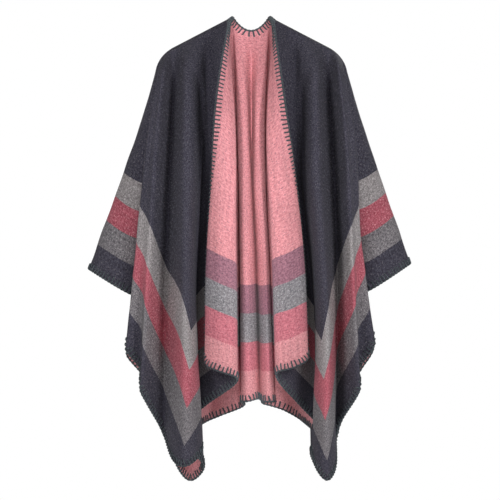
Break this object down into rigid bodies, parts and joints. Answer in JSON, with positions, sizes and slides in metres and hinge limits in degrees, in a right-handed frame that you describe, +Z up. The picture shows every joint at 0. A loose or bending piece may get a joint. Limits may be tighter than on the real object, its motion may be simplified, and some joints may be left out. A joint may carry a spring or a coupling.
{
  "type": "open-front poncho wrap",
  "caption": "Open-front wrap poncho of heavy double-faced cloth, with wide draped sleeves, turned-back front edges and pointed hanging corners.",
  "frame": {"origin": "midway between the two points where the neck opening meets the shoulder line, where a wearer's shoulders hold the cloth up", "axes": "+Z up, -Y towards the front of the garment, +X towards the right of a front view, along the shoulder line"},
  "size_m": [0.6404, 0.3235, 0.9283],
  "materials": {
    "cloth": "brushed twill, charcoal outside and salmon inside, with bands"
  },
  "bodies": {
    "root": {"front_left": "cloth", "back": "cloth", "front_right": "cloth"}
  },
  "joints": []
}
